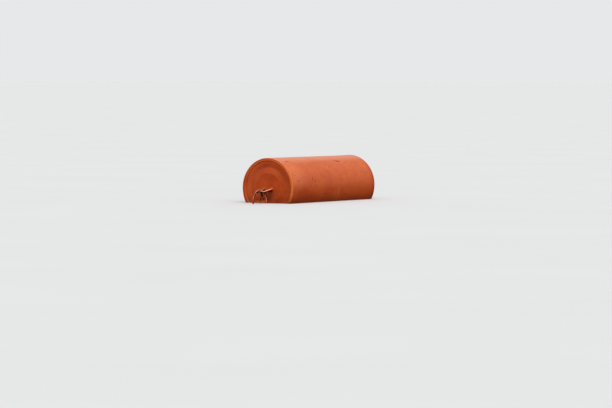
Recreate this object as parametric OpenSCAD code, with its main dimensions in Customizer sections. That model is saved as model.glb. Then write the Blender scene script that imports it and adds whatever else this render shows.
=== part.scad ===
// Barrel mooring buoy: a closed steel drum that floats on its side, with a
// bent-bar hoop on each end plate and a heavy ring that swings in each hoop.
// X runs along the drum, Z is up, and Z = 0 is the waterline it floats at.

/* [Hull] */
// Outer diameter of the rolled shell
hull_d = 600; // [560:10:700]
// Length over both rims
hull_l = 1500; // [1200:50:2000]
// Thickness of the shell's lip around each end plate
plate_t = 3; // [2:0.5:4]
// How far each end plate's flange sits inside the shell, from the rim
flange_depth = 34; // [30:1:50]
// Height of the drum's axis above its waterline
axis_z = 147.5; // [100:0.5:200]

/* [End plates] */
// Radius of the raised flat disc in the middle of each end plate
disc_r = 150; // [140:1:160]
// Depth of the raised disc below the rim
disc_depth = 8; // [6:1:9]
// Depth of the annular trough below the rim
trough_depth = 21; // [19:1:24]
// Width and height of the half-round ring on the drum's edge
rim_w = 12; // [10:1:14]

/* [Mooring hoops] */
// Diameter of the bent round bar
hoop_bar = 22; // [20:1:26]
// Distance between the centres of the two legs
hoop_w = 92; // [92:2:96]
// Reach of the bar's centre line from the raised disc
hoop_reach = 138; // [130:1:150]
// Bend radius of the hoop's two corners, on the bar's centre line
hoop_bend = 18; // [17:0.5:18]
// How far the feet are below the drum's axis
hoop_down = 11; // [0:1:20]
// Angle by which the hoop has been bent down
hoop_droop = 9.5; // [0:0.5:12]
// Leg length of the fillet weld round each foot
weld_leg = 7; // [4:1:8]

/* [Mooring rings] */
// Radius of the ring's centre line
ring_r = 118; // [110:1:120]
// Diameter of the ring's round bar
ring_bar = 16; // [14:1:20]
// Gap between the ring and the hoop it hangs on
ring_gap = 0.7; // [0.5:0.1:1]

/* [Test plug] */
// Angle of the plug from the top of the end plate
plug_angle = 40; // [20:5:70]
// Diameter and height of the welded boss
boss_d = 48; // [40:1:50]
boss_h = 10; // [8:1:12]
// Width of the plug's hexagon over its flats
plug_af = 27; // [24:1:32]

/* [Rope lashing] */
// Diameter of the rope
rope_d = 8; // [8:1:9]
// Radius of the knot's lobes
knot_r = 9.5; // [8:0.5:9.5]

/* [Hidden] */
$fn = 96;

hull_r = hull_d / 2;
half_l = hull_l / 2;
hoop_half = hoop_w / 2;
crown_half = hoop_half - hoop_bend; // half the straight part of the crown
seat_depth = rim_w;                 // depth at which rim ring, plate edge and shell meet
paint = [0.78, 0.33, 0.17];
bare = [0.45, 0.30, 0.24];
rope = [0.10, 0.09, 0.08];

// The ends of the drum, one line each: [side along X, the ring's place across the crown]
SIDE = 0; RING_Y = 1;
FRONT = [-1, -1];
REAR = [1, 0];
// The middle of the hoop's crown, and how far below it the ring's centre hangs
crown = [hoop_reach * cos(hoop_droop), 0, -hoop_down - hoop_reach * sin(hoop_droop)];
ring_drop = ring_r - (hoop_bar / 2 + ring_gap + ring_bar / 2);

// End plate section, from the middle out: [radius, depth below the rim]
plate_path = concat(
    [[0, disc_depth], [disc_r, disc_depth], [disc_r + 6, disc_depth + 0.8],
     [disc_r + 12, disc_depth + 2.3], [disc_r + 45, trough_depth - 2.9],
     [disc_r + 51, trough_depth - 1.2], [disc_r + 57, trough_depth - 0.3],
     [disc_r + 62, trough_depth]],
    // [distance in from the hull's edge, depth]
    [for (p = [[42, trough_depth], [37, trough_depth - 0.5], [33, trough_depth - 2.4], [30, 15.2], [28, 10.8], [26, 6.8],
               [24, 4.1], [21.5, 2.6], [19, 2.6], [16.7, 4.2], [15, 7], [13.7, 10],
               [rim_w, seat_depth], [plate_t, seat_depth]])
        [hull_r - p[0], p[1]]]);

// Puts a shape drawn about +Z, with Z = 0 on the rim plane, onto one end of the drum
module on_end(side) {
    translate([side * half_l, 0, axis_z]) rotate([0, side * 90, 0]) children();
}
// Puts a shape drawn outward along +X from the raised disc onto one end of the drum
module on_disc(side) {
    translate([side * (half_l - disc_depth), 0, axis_z]) rotate([0, 0, side > 0 ? 0 : 180]) children();
}

module shell() {
    color(paint) translate([0, 0, axis_z]) rotate([0, 90, 0]) difference() {
        cylinder(r = hull_r, h = hull_l - 2 * seat_depth, center = true, $fn = 192);
        for (side = [-1, 1]) translate([0, 0, side * half_l]) cylinder(r = hull_r - plate_t, h = 2 * flange_depth, center = true, $fn = 192);
    }
}

module end_plate(side) {
    section = concat([[0, -flange_depth]], [for (p = plate_path) [p[0], -p[1]]], [[hull_r - plate_t, -flange_depth]]);
    color(paint) on_end(side) rotate_extrude($fn = 192) polygon(section);
}

module rim_ring(side) {
    color(paint) on_end(side) rotate_extrude($fn = 192) translate([hull_r - rim_w, -seat_depth])
        union() {
            square([rim_w, rim_w / 2]);
            translate([rim_w / 2, rim_w / 2]) circle(d = rim_w, $fn = 48);
        }
}

module hoop(side) {
    color(paint) on_disc(side) translate([0, 0, -hoop_down]) difference() {
        union() {
            rotate([0, hoop_droop, 0]) {
                for (s = [-1, 1]) {
                    translate([-25, s * hoop_half, 0]) rotate([0, 90, 0]) cylinder(d = hoop_bar, h = 25 + hoop_reach - hoop_bend);
                    translate([hoop_reach - hoop_bend, s * crown_half, 0]) rotate([0, 0, s > 0 ? 0 : -90])
                        rotate_extrude(angle = 90) translate([hoop_bend, 0]) circle(d = hoop_bar);
                }
                translate([hoop_reach, -crown_half, 0]) rotate([-90, 0, 0]) cylinder(d = hoop_bar, h = 2 * crown_half);
            }
            for (s = [-1, 1]) translate([-2, s * hoop_half, 0]) rotate([0, 90, 0])
                cylinder(d1 = hoop_bar + 2 * weld_leg + 4, d2 = hoop_bar, h = weld_leg + 2);
        }
        translate([-120, -150, -150]) cube([120, 300, 300]);
    }
}

module mooring_ring(end) {
    color(bare) on_disc(end[SIDE]) translate(crown + [0, end[RING_Y], -ring_drop]) rotate([90, 0, 0])
        rotate_extrude($fn = 128) translate([ring_r, 0]) circle(d = ring_bar, $fn = 64);
}

module on_boss() {
    on_end(1) rotate([0, 0, 180 - plug_angle]) translate([hull_r - 66, 0, -trough_depth]) children();
}
module test_plug_boss() {
    color(paint) on_boss() union() {
        cylinder(d = boss_d, h = boss_h - 3);
        translate([0, 0, boss_h - 3]) cylinder(d1 = boss_d, d2 = boss_d - 6, h = 3);
    }
}
module test_plug() {
    color(bare) on_boss() translate([0, 0, boss_h]) union() {
        cylinder(d = plug_af + 6, h = 3);
        translate([0, 0, 3]) cylinder(d = plug_af / cos(30), h = 12, $fn = 6);
    }
}

// The lashing sits on the crown beside the ring: two turns, and a knot of three lobes under them
lash_from = 12;                     // across the crown
lash_w = 2 * rope_d;
lash_r = hoop_bar / 2 + rope_d;
knot_top = crown + [0, lash_from + knot_r, -lash_r];
// Lobes: [out, across, up, radius], from the middle of the knot's top
LOBES = [[-8, 0, -3, knot_r], [8, 0, -4, knot_r], [0, 0, -15, knot_r]];
knot_end = 24;                      // height of the whole knot

module rope_lashing() {
    color(rope) on_disc(-1) translate(crown + [0, lash_from, 0]) rotate([-90, 0, 0]) difference() {
        cylinder(r = lash_r, h = lash_w, $fn = 64);
        translate([0, 0, -1]) cylinder(d = hoop_bar, h = lash_w + 2, $fn = 64);
    }
}
module rope_knot() {
    color(rope) on_disc(-1) translate(knot_top) union() {
        for (l = LOBES) translate([l[0], l[1], l[2]]) sphere(r = l[3], $fn = 48);
    }
}

// Routes of the two tails from the knot's foot, out of it and down
long_route = [[7, 0, 12], [13, 1, 5], [18, 2, -4], [22, 3, -14], [25, 4, -24], [27, 4, -34], [28, 4, -44]];
short_route = [[-6, 1, 8], [-11, 2, 0], [-15, 4, -9], [-18, 5, -19], [-19, 6, -29], [-19, 6, -38]];

function unit3(v) = v / norm(v);
function ring_at(p, i, r, n) =
    let (d = unit3(i == 0 ? p[1] - p[0] : i == len(p) - 1 ? p[i] - p[i - 1] : p[i + 1] - p[i - 1]),
         e = (i == 0 || i == len(p) - 1) ? [0, 0, d[2] < 0 ? -1 : 1] : d,
         u = unit3(cross(e, [0, 1, 0])), v = cross(u, e))
    [for (k = [0 : n - 1]) p[i] + r * (cos(360 * k / n) * u + sin(360 * k / n) * v)];
module tube(p, r, n = 8) {
    m = len(p);
    polyhedron(points = [for (i = [0 : m - 1]) each ring_at(p, i, r, n)],
               faces = concat([[for (k = [0 : n - 1]) k]],
                              [for (i = [0 : m - 2], k = [0 : n - 1])
                                  [i * n + k, (i + 1) * n + k, (i + 1) * n + (k + 1) % n, i * n + (k + 1) % n]],
                              [[for (k = [n - 1 : -1 : 0]) (m - 1) * n + k]]), convexity = 4);
}
module at_knot() {
    on_disc(-1) translate(knot_top - [0, 0, knot_end]) children();
}
module tail(route) {
    color(rope) at_knot() tube(route, rope_d / 2);
}

shell();
end_plate(-1);  // front_end_plate
end_plate(1);  // rear_end_plate
rim_ring(-1);  // front_rim_ring
rim_ring(1);  // rear_rim_ring
hoop(-1);  // front_hoop
hoop(1);  // rear_hoop
mooring_ring(FRONT);  // front_mooring_ring
mooring_ring(REAR);  // rear_mooring_ring
test_plug_boss();
test_plug();
rope_lashing();
rope_knot();
tail(long_route);  // lashing_tail_long
tail(short_route);  // lashing_tail_short
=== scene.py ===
import math

import bpy
import numpy as np
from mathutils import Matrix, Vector


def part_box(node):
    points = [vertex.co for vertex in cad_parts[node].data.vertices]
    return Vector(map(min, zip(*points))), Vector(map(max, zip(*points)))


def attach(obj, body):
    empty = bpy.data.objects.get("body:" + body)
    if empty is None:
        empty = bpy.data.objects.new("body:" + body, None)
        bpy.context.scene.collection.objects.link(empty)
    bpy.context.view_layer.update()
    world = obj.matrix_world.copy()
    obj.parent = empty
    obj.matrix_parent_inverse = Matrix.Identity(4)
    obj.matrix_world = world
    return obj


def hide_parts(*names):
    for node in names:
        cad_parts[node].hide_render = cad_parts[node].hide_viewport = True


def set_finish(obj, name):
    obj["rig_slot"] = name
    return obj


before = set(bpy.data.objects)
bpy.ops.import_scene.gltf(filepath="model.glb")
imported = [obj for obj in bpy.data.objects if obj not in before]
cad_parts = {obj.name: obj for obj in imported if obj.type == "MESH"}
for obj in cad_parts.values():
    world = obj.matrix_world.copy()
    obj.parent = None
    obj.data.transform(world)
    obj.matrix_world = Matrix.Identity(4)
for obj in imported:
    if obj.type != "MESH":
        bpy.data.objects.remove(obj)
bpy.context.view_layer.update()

AXIS_Z = 0.1475     # height of the drum's axis above the waterline
HULL_R = 0.300
HALF_L = 0.750
RIM_W = 0.012
DISC_X = HALF_L - 0.008          # the raised disc of each end plate
CROWN = (0.13611, -0.03378)      # the hoop's crown from the raised disc's centre: out, up
CROWN_X, CROWN_Z = DISC_X + CROWN[0], AXIS_Z + CROWN[1]
HOOP_R = 0.011
FOOT_Y, FOOT_Z = 0.046, AXIS_Z - 0.011      # where the hoop's bar meets the disc
ROPE_R = 0.004
RING_R = 0.118

scene = bpy.context.scene


# ---------------------------------------------------------------- camera

def make_camera():
    data = bpy.data.cameras.new("camera")
    data.sensor_fit, data.sensor_width = "HORIZONTAL", 36.0
    data.lens = 3200 / 612 * 36.0
    data.clip_start, data.clip_end = 0.5, 900.0
    cam = bpy.data.objects.new("camera", data)
    scene.collection.objects.link(cam)
    yaw, pitch = math.radians(33.68), math.radians(2.3085)
    cam.location = (-26.779, -17.803, 1.2642)
    look = Vector((math.cos(yaw) * math.cos(pitch), math.sin(yaw) * math.cos(pitch), -math.sin(pitch)))
    cam.rotation_mode = "QUATERNION"
    cam.rotation_quaternion = look.to_track_quat("-Z", "Y")
    scene.camera = cam


make_camera()


# ---------------------------------------------------------------- mesh tools

def mesh_object(name, verts, faces, smooth=True):
    mesh = bpy.data.meshes.new(name)
    mesh.from_pydata([tuple(v) for v in verts], [], [tuple(f) for f in faces])
    mesh.validate()
    if smooth:
        mesh.polygons.foreach_set("use_smooth", [True] * len(mesh.polygons))
    obj = bpy.data.objects.new(name, mesh)
    scene.collection.objects.link(obj)
    return obj


def grid_faces(n, m, wrap_n=False, wrap_m=False, start=0, flip=False):
    """Quads of an n by m grid of points numbered row by row."""
    i = np.arange(n if wrap_n else n - 1)
    j = np.arange(m if wrap_m else m - 1)
    i, j = np.meshgrid(i, j, indexing="ij")
    i, j = i.ravel(), j.ravel()
    i2, j2 = (i + 1) % n, (j + 1) % m
    q = np.stack([i * m + j, i2 * m + j, i2 * m + j2, i * m + j2], 1) + start
    return (q[:, ::-1] if flip else q).tolist()


def unit(v):
    v = np.asarray(v, float)
    return v / np.maximum(np.linalg.norm(v, axis=-1, keepdims=True), 1e-12)


def smooth_line(points, step, closed=False):
    """A Catmull-Rom line through the points, resampled at about one point every step."""
    p = np.asarray(points, float)
    n = len(p)
    out = []
    for i in range(n if closed else n - 1):
        if closed:
            a, b, c, d = p[i - 1], p[i], p[(i + 1) % n], p[(i + 2) % n]
        else:
            b, c = p[i], p[i + 1]
            a = p[i - 1] if i else 2 * b - c
            d = p[i + 2] if i + 2 < n else 2 * c - b
        t = np.linspace(0, 1, 25)[:-1, None]
        out.append(0.5 * (2 * b + (c - a) * t + (2 * a - 5 * b + 4 * c - d) * t ** 2 + (3 * b - a - 3 * c + d) * t ** 3))
    fine = np.concatenate(out + ([out[0][:1]] if closed else [p[-1:]]))
    s = np.concatenate([[0], np.cumsum(np.linalg.norm(np.diff(fine, axis=0), axis=1))])
    count = max(4, int(round(s[-1] / step)) + 1)
    at = np.linspace(0, s[-1], count)
    line = np.stack([np.interp(at, s, fine[:, k]) for k in range(3)], 1)
    return line[:-1] if closed else line


def frames(line, closed=False):
    """Two unit vectors across the line at each point, carried along it without twist."""
    if closed:
        d = unit(np.roll(line, -1, 0) - np.roll(line, 1, 0))
    else:
        d = unit(np.gradient(line, axis=0))
    ref = np.array([0.0, 1.0, 0.0]) if abs(d[0][1]) < 0.8 else np.array([1.0, 0.0, 0.0])
    u = [unit(np.cross(d[0], ref))]
    for k in range(1, len(line)):
        w = u[-1] - d[k] * np.dot(u[-1], d[k])
        u.append(unit(w))
    u = np.array(u)
    v = np.cross(d, u)
    if closed:  # spread the leftover twist over the loop
        w = u[-1] - d[0] * np.dot(u[-1], d[0])
        w = unit(w)
        off = math.atan2(np.dot(w, v[0]), np.dot(w, u[0]))
        a = -off * np.linspace(0, 1, len(line))[:, None]
        u, v = u * np.cos(a) + v * np.sin(a), v * np.cos(a) - u * np.sin(a)
    return d, u, v


def tube_points(centres, u, v, radius, sides):
    """Rings of points about a line: radius is one number or one for each ring."""
    a = np.linspace(0, 2 * math.pi, sides, endpoint=False)
    r = np.broadcast_to(np.asarray(radius, float).reshape(-1, 1, 1), (len(centres), 1, 1))
    return centres[:, None, :] + r * (np.cos(a)[None, :, None] * u[:, None, :] + np.sin(a)[None, :, None] * v[:, None, :])


class Builder:
    """Gathers several tubes and grids into one mesh."""

    def __init__(self):
        self.verts, self.faces = [], []

    def tube(self, centres, u, v, radius, sides=8, closed=False, caps=True):
        start = len(self.verts)
        pts = tube_points(centres, u, v, radius, sides).reshape(-1, 3)
        self.verts.extend(pts.tolist())
        n = len(centres)
        self.faces.extend(grid_faces(n, sides, closed, True, start))
        if not closed and caps:
            self.faces.append([start + k for k in range(sides)])
            self.faces.append([start + (n - 1) * sides + k for k in range(sides)][::-1])

    def grid(self, pts, wrap_n=False, wrap_m=False, flip=False):
        start = len(self.verts)
        n, m = pts.shape[:2]
        self.verts.extend(pts.reshape(-1, 3).tolist())
        self.faces.extend(grid_faces(n, m, wrap_n, wrap_m, start, flip))

    def object(self, name):
        return mesh_object(name, self.verts, self.faces)


def waves(seed, count, low, high):
    """A smooth repeatable noise: a sum of waves, with low to high cycles per metre, from about -1 to 1."""
    rng = np.random.default_rng(seed)
    k = unit(rng.normal(size=(count, 3))) * rng.uniform(low, high, (count, 1)) * 2 * math.pi
    ph = rng.uniform(0, 2 * math.pi, count)

    def value(p):
        return np.sin(p @ k.T + ph).sum(-1) / math.sqrt(count / 2) / 2.2

    return value


# ---------------------------------------------------------------- rope

def strands(build, line, radius, lay, closed=False, tight=None, turn=0.0, fray=None):
    """A rope of three laid strands along a line. fray is how many metres at the far end come open."""
    d, u, v = frames(line, closed)
    seg = np.linalg.norm(np.diff(line, axis=0), axis=1)
    s = np.concatenate([[0], np.cumsum(seg)])
    total = s[-1] + (np.linalg.norm(line[0] - line[-1]) if closed else 0)
    turns = max(1, round(total / lay)) if closed else total / lay
    r_strand, off = 0.478 * radius, 0.522 * radius
    for k in range(3):
        a = 2 * math.pi * (turns * s / total + k / 3) + turn
        open_up = np.zeros(len(line))
        if fray:
            open_up = np.clip((s - (total - fray)) / fray, 0, 1) ** 1.5
        o = (off * (1 + 0.75 * open_up))[:, None]
        c = line + o * (np.cos(a)[:, None] * u + np.sin(a)[:, None] * v)
        # each strand is a little flattened against the others
        du, dv = np.cos(a)[:, None] * u + np.sin(a)[:, None] * v, -np.sin(a)[:, None] * u + np.cos(a)[:, None] * v
        ring = np.linspace(0, 2 * math.pi, 10, endpoint=False)
        rr = r_strand * (1 - 0.25 * open_up)
        lump = 1 + 0.05 * np.sin(9 * ring[None, :] + s[:, None] * 2 * math.pi / 0.0042)
        pts = c[:, None, :] + (rr[:, None] * lump)[:, :, None] * (
            np.cos(ring)[None, :, None] * du[:, None, :] + 1.1 * np.sin(ring)[None, :, None] * dv[:, None, :])
        start = len(build.verts)
        build.verts.extend(pts.reshape(-1, 3).tolist())
        build.faces.extend(grid_faces(len(line), 10, closed, True, start))
        if not closed:
            build.faces.append([start + q for q in range(10)])
            build.faces.append([start + (len(line) - 1) * 10 + q for q in range(10)][::-1])
    return d, u, v, s, total


def frayed_end(build, line, radius, seed, long):
    """Loose yarns at the last few millimetres of a cut rope."""
    rng = np.random.default_rng(seed)
    d, u, v = frames(line)
    n = max(4, int(long / 0.0012))
    tail = line[-n:]
    uu, vv, dd = u[-n], v[-n], d[-n]
    for k in range(17):
        a, q = rng.uniform(0, 2 * math.pi), radius * math.sqrt(rng.uniform(0.05, 0.8))
        spread = radius * rng.uniform(0.1, 0.75)
        drift = rng.uniform(-0.6, 0.6)
        t = np.linspace(0, 1, 9)
        reach = rng.uniform(0.6, 1.0)
        idx = np.clip((t * reach * (n - 1)), 0, n - 1)
        base = np.stack([np.interp(idx, np.arange(n), tail[:, c]) for c in range(3)], 1)
        out = (q + spread * t ** 1.6)[:, None]
        ang = a + drift * t
        c = base + out * (np.cos(ang)[:, None] * uu + np.sin(ang)[:, None] * vv)
        fd, fu, fv = frames(c)
        build.tube(c, fu, fv, np.linspace(0.00045, 0.00022, 9), 5)


def on_front(x, y, z):
    """A point of the front end in metres from millimetres: out of the raised disc, across, and up from the drum's axis."""
    return (-DISC_X - x / 1000, -y / 1000, AXIS_Z + z / 1000)


KNOT_FOOT = (136.11, 21.5, -33.78 - 19 - 24)
LONG_ROUTE = [(7, 0, 12), (13, 1, 5), (18, 2, -4), (22, 3, -14), (25, 4, -24), (27, 4, -34), (28, 4, -44)]
SHORT_ROUTE = [(-6, 1, 8), (-11, 2, 0), (-15, 4, -9), (-18, 5, -19), (-19, 6, -29), (-19, 6, -38)]


def make_tail(name, node, route, seed):
    points = [on_front(*(KNOT_FOOT[k] + q[k] for k in range(3))) for q in route]
    line = smooth_line(points, 0.0012)
    build = Builder()
    strands(build, line, ROPE_R, 0.026, fray=0.014)
    ahead = unit(line[-1] - line[-3])[None, :] * np.arange(1, 5)[:, None] * 0.0012
    frayed_end(build, np.concatenate([line, line[-1] + ahead]), ROPE_R, seed, 0.012)
    obj = build.object(name)
    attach(obj, "hull")
    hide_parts(node)
    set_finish(obj, "rope")
    return obj


tail_long = make_tail("rope_tail_long", "lashing_tail_long", LONG_ROUTE, 11)
tail_short = make_tail("rope_tail_short", "lashing_tail_short", SHORT_ROUTE, 23)


def make_lashing():
    """Two turns round the crown, side by side, with both ends led down into the knot."""
    cy1, cy2 = -0.0161, -0.0239
    r = HOOP_R + ROPE_R - 0.0001
    pts = []
    pts.append((-CROWN_X - 0.002, -0.0195, CROWN_Z - 0.0265))
    # angle from straight down, growing round the front of the crown and over it
    for a in np.arange(24, 337, 12):
        t = (a - 24) / 312
        y = cy1 - 0.0006 * t
        pts.append((-CROWN_X - r * math.sin(math.radians(a)), y, CROWN_Z - r * math.cos(math.radians(a))))
    for a in np.arange(24, 337, 12):
        t = (a - 24) / 312
        y = cy2 + 0.0006 * (1 - t)
        pts.append((-CROWN_X - r * math.sin(math.radians(a)), y, CROWN_Z - r * math.cos(math.radians(a))))
    pts.append((-CROWN_X + 0.003, -0.0225, CROWN_Z - 0.0265))
    line = smooth_line(pts, 0.0012)
    build = Builder()
    strands(build, line, ROPE_R, 0.026)
    obj = build.object("rope_turns")
    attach(obj, "hull")
    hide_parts("rope_lashing")
    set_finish(obj, "rope")
    return obj


def make_knot():
    """An overhand knot pulled tight under the turns, one lobe down."""
    t = np.linspace(0, 2 * math.pi, 60, endpoint=False)
    k = 0.0043
    x = k * (np.sin(t) + 2 * np.sin(2 * t))
    z = k * (np.cos(t) - 2 * np.cos(2 * t))
    y = k * 0.98 * -np.sin(3 * t)
    # flattened a little and pulled out of true, as a real knot is
    ang = math.radians(4)
    x, z = x * math.cos(ang) - z * math.sin(ang), x * math.sin(ang) + z * math.cos(ang)
    pts = np.stack([-CROWN_X + x, -0.0215 + y, CROWN_Z - 0.0288 - z * 0.97], 1)
    line = smooth_line(pts, 0.0012, closed=True)
    build = Builder()
    strands(build, line, ROPE_R, 0.026, closed=True)
    obj = build.object("rope_knot_tied")
    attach(obj, "hull")
    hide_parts("rope_knot")
    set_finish(obj, "rope")
    return obj


lashing = make_lashing()
knot = make_knot()


# ---------------------------------------------------------------- drum shell

# Dents: place along the drum, angle from the top towards the camera's side, half length, half width, depth, turn
DENTS = [
    # x, angle, half length, half width, depth, turn in degrees
    (0.265, 34, 0.060, 0.017, 0.0060, 2), (-0.622, 29, 0.040, 0.014, 0.0045, 8), (-0.340, 78, 0.026, 0.018, 0.0030, 30),
    (0.215, 107, 0.034, 0.012, 0.0030, 0), (-0.168, 104, 0.030, 0.010, 0.0022, 0), (-0.632, 76, 0.030, 0.010, 0.0022, 0),
    (-0.455, 55, 0.070, 0.050, 0.0024, 20), (0.520, 62, 0.085, 0.060, 0.0026, -15), (0.020, 15, 0.110, 0.060, 0.0028, 10),
    (-0.250, -24, 0.055, 0.040, 0.0050, 35), (0.340, -62, 0.075, 0.045, 0.0060, -10), (-0.540, -88, 0.050, 0.050, 0.0055, 0),
    (0.600, -30, 0.030, 0.022, 0.0040, 0), (0.050, -98, 0.090, 0.034, 0.0040, 5), (-0.100, 140, 0.080, 0.050, 0.0050, 0),
    (0.450, 165, 0.060, 0.050, 0.0060, 40), (-0.480, -150, 0.070, 0.040, 0.0050, 0), (0.690, 92, 0.022, 0.016, 0.0024, 0),
    (-0.700, -48, 0.020, 0.018, 0.0026, 0), (0.130, 60, 0.040, 0.030, 0.0016, 0),
]


def shell_radius(x, th):
    """The worn shell's outer radius. It is never more than the drum's own."""
    p = np.stack([x, HULL_R * np.sin(th), HULL_R * np.cos(th)], -1)
    big, mid = waves(3, 14, 0.8, 2.2)(p), waves(5, 24, 4.0, 9.0)(p)
    edge = HALF_L - RIM_W - np.abs(x)                       # distance from the rim ring
    free = np.clip(edge / 0.09, 0, 1) ** 2 * (3 - 2 * np.clip(edge / 0.09, 0, 1))
    r = HULL_R - 0.0003 - free * (0.0012 + 0.0011 * big + 0.00035 * mid)
    r -= 0.0009 * np.exp(-((edge - 0.030) / 0.020) ** 2)    # drawn in a little beside the end welds
    r -= 0.0016 * np.exp(-((edge / 0.0065) ** 2))            # groove for the weld beside the rim ring
    for x0, a, hl, hw, depth, turn in DENTS:
        du, dv = x - x0, (np.mod(th - math.radians(a) + math.pi, 2 * math.pi) - math.pi) * HULL_R
        c, s = math.cos(math.radians(turn)), math.sin(math.radians(turn))
        q = ((du * c + dv * s) / hl) ** 2 + ((dv * c - du * s) / hw) ** 2
        r -= depth * np.exp(-1.6 * q)
    return np.minimum(r, HULL_R - 0.0001)


def on_cylinder(x, th, r):
    """A point at an angle from the top, towards -Y for the camera's side."""
    return np.stack([x, -r * np.sin(th), AXIS_Z + r * np.cos(th)], -1)


def make_shell():
    n_t = 372
    th = np.linspace(0, 2 * math.pi, n_t, endpoint=False)
    end = HALF_L - RIM_W
    near = end - np.array([0, 0.0012, 0.0028, 0.0048, 0.0072, 0.010, 0.0135])
    mid = np.linspace(-(end - 0.0175), end - 0.0175, 199)
    xs = np.concatenate([-near, mid, near[::-1]])
    X, T = np.meshgrid(xs, th, indexing="ij")
    wall = on_cylinder(X, T, shell_radius(X, T))
    # lip, bore and blind end behind each end plate
    cap_x, lip_r = HALF_L - 0.034, HULL_R - 0.003
    rows = []
    for side in (-1, 1):
        rows.append([on_cylinder(np.full(n_t, side * end), th, lip_r * np.ones(n_t)),
                     on_cylinder(np.full(n_t, side * cap_x), th, lip_r * np.ones(n_t)),
                     on_cylinder(np.full(n_t, side * cap_x), th, 0.12 * np.ones(n_t))])
    pts = np.concatenate([np.array(rows[0])[::-1], wall, np.array(rows[1])])
    n = len(pts)
    verts = pts.reshape(-1, 3).tolist()
    faces = grid_faces(n, n_t, False, True)
    faces.append([k for k in range(n_t)])
    faces.append([(n - 1) * n_t + k for k in range(n_t)][::-1])
    obj = mesh_object("drum_shell", verts, faces)
    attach(obj, "hull")
    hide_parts("shell")
    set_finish(obj, "shell_paint")
    return obj


# ---------------------------------------------------------------- end plates

# The end plate's section: radius and depth below the rim, in metres
PLATE = [(0.150, 0.0080), (0.156, 0.0088), (0.162, 0.0103), (0.195, 0.0181), (0.201, 0.0198), (0.207, 0.0207), (0.212, 0.0210),
         (0.258, 0.0210), (0.263, 0.0205), (0.267, 0.0186), (0.270, 0.0152), (0.272, 0.0108), (0.274, 0.0068), (0.276, 0.0041),
         (0.2785, 0.0026), (0.281, 0.0026), (0.2833, 0.0042), (0.285, 0.0070), (0.2863, 0.0100), (0.288, 0.0120), (0.297, 0.0120)]


def plate_depth(r):
    pr = [0.0] + [p[0] for p in PLATE]
    pd = [0.0080] + [p[1] for p in PLATE]
    return np.interp(r, pr, pd)


def make_end(name, node, side, seed):
    n_t = 300
    th = np.linspace(0, 2 * math.pi, n_t, endpoint=False)
    rs = np.concatenate([np.linspace(0.004, 0.148, 31), np.linspace(0.1505, 0.2105, 25), np.linspace(0.2145, 0.2545, 11),
                         np.linspace(0.2575, 0.2885, 38), [0.2925, 0.2970]])
    # one pass of smoothing rounds the section's corners
    fine = np.linspace(0, 0.297, 2971)
    depth = plate_depth(fine)
    kernel = np.exp(-np.linspace(-2, 2, 25) ** 2)
    kernel /= kernel.sum()
    depth = np.convolve(np.pad(depth, 12, mode="edge"), kernel, "valid")
    R, T = np.meshgrid(rs, th, indexing="ij")
    base = np.interp(R, fine, depth)
    y, z = -R * np.sin(T), R * np.cos(T)
    p = np.stack([y, z, np.full_like(y, 0.37 * side)], -1)
    flat = np.clip((0.262 - R) / 0.03, 0, 1)
    wob = waves(seed, 14, 1.5, 4.0)(p) * 0.0007 + waves(seed + 1, 24, 8.0, 16.0)(p) * 0.00012
    dish = 0.0012 * (1 - np.clip(R / 0.15, 0, 1) ** 2)
    feet = np.minimum(np.hypot(y - FOOT_Y, z + AXIS_Z - FOOT_Z), np.hypot(y + FOOT_Y, z + AXIS_Z - FOOT_Z))
    clear = np.clip((feet - 0.026) / 0.05, 0, 1) ** 1.5
    extra = flat * clear * (wob + dish)
    rng = np.random.default_rng(seed + 7)
    for _ in range(6):  # knocks
        a, q = rng.uniform(0, 2 * math.pi), 0.24 * math.sqrt(rng.uniform(0.1, 1))
        w, dd = rng.uniform(0.012, 0.035), rng.uniform(0.0008, 0.0022)
        extra += flat * clear * dd * np.exp(-(((y - q * math.cos(a)) ** 2 + (z - q * math.sin(a)) ** 2) / w ** 2))
    X = side * (HALF_L - base - extra)
    pts = np.stack([X, y, AXIS_Z + z], -1)
    rim_back = np.stack([np.full(n_t, side * (HALF_L - 0.0335)), -0.297 * np.sin(th), AXIS_Z + 0.297 * np.cos(th)], -1)
    pts = np.concatenate([pts, rim_back[None]])
    n = len(pts)
    verts = pts.reshape(-1, 3).tolist()
    faces = grid_faces(n, n_t, False, True, flip=side > 0)
    middle = len(verts)
    verts.append((float(side * (HALF_L - 0.008 - 0.0012)), 0.0, AXIS_Z))
    back = len(verts)
    verts.append((side * (HALF_L - 0.0335), 0.0, AXIS_Z))
    for k in range(n_t):
        a, b = k, (k + 1) % n_t
        faces.append([middle, b, a] if side > 0 else [middle, a, b])
        a, b = (n - 1) * n_t + k, (n - 1) * n_t + (k + 1) % n_t
        faces.append([back, a, b] if side > 0 else [back, b, a])
    obj = mesh_object(name, verts, faces)
    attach(obj, "hull")
    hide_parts(node)
    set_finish(obj, "end_paint")
    return obj


shell = make_shell()
front_end = make_end("front_end_dished", "front_end_plate", -1, 41)
rear_end = make_end("rear_end_dished", "rear_end_plate", 1, 67)


# ---------------------------------------------------------------- welds

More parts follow.
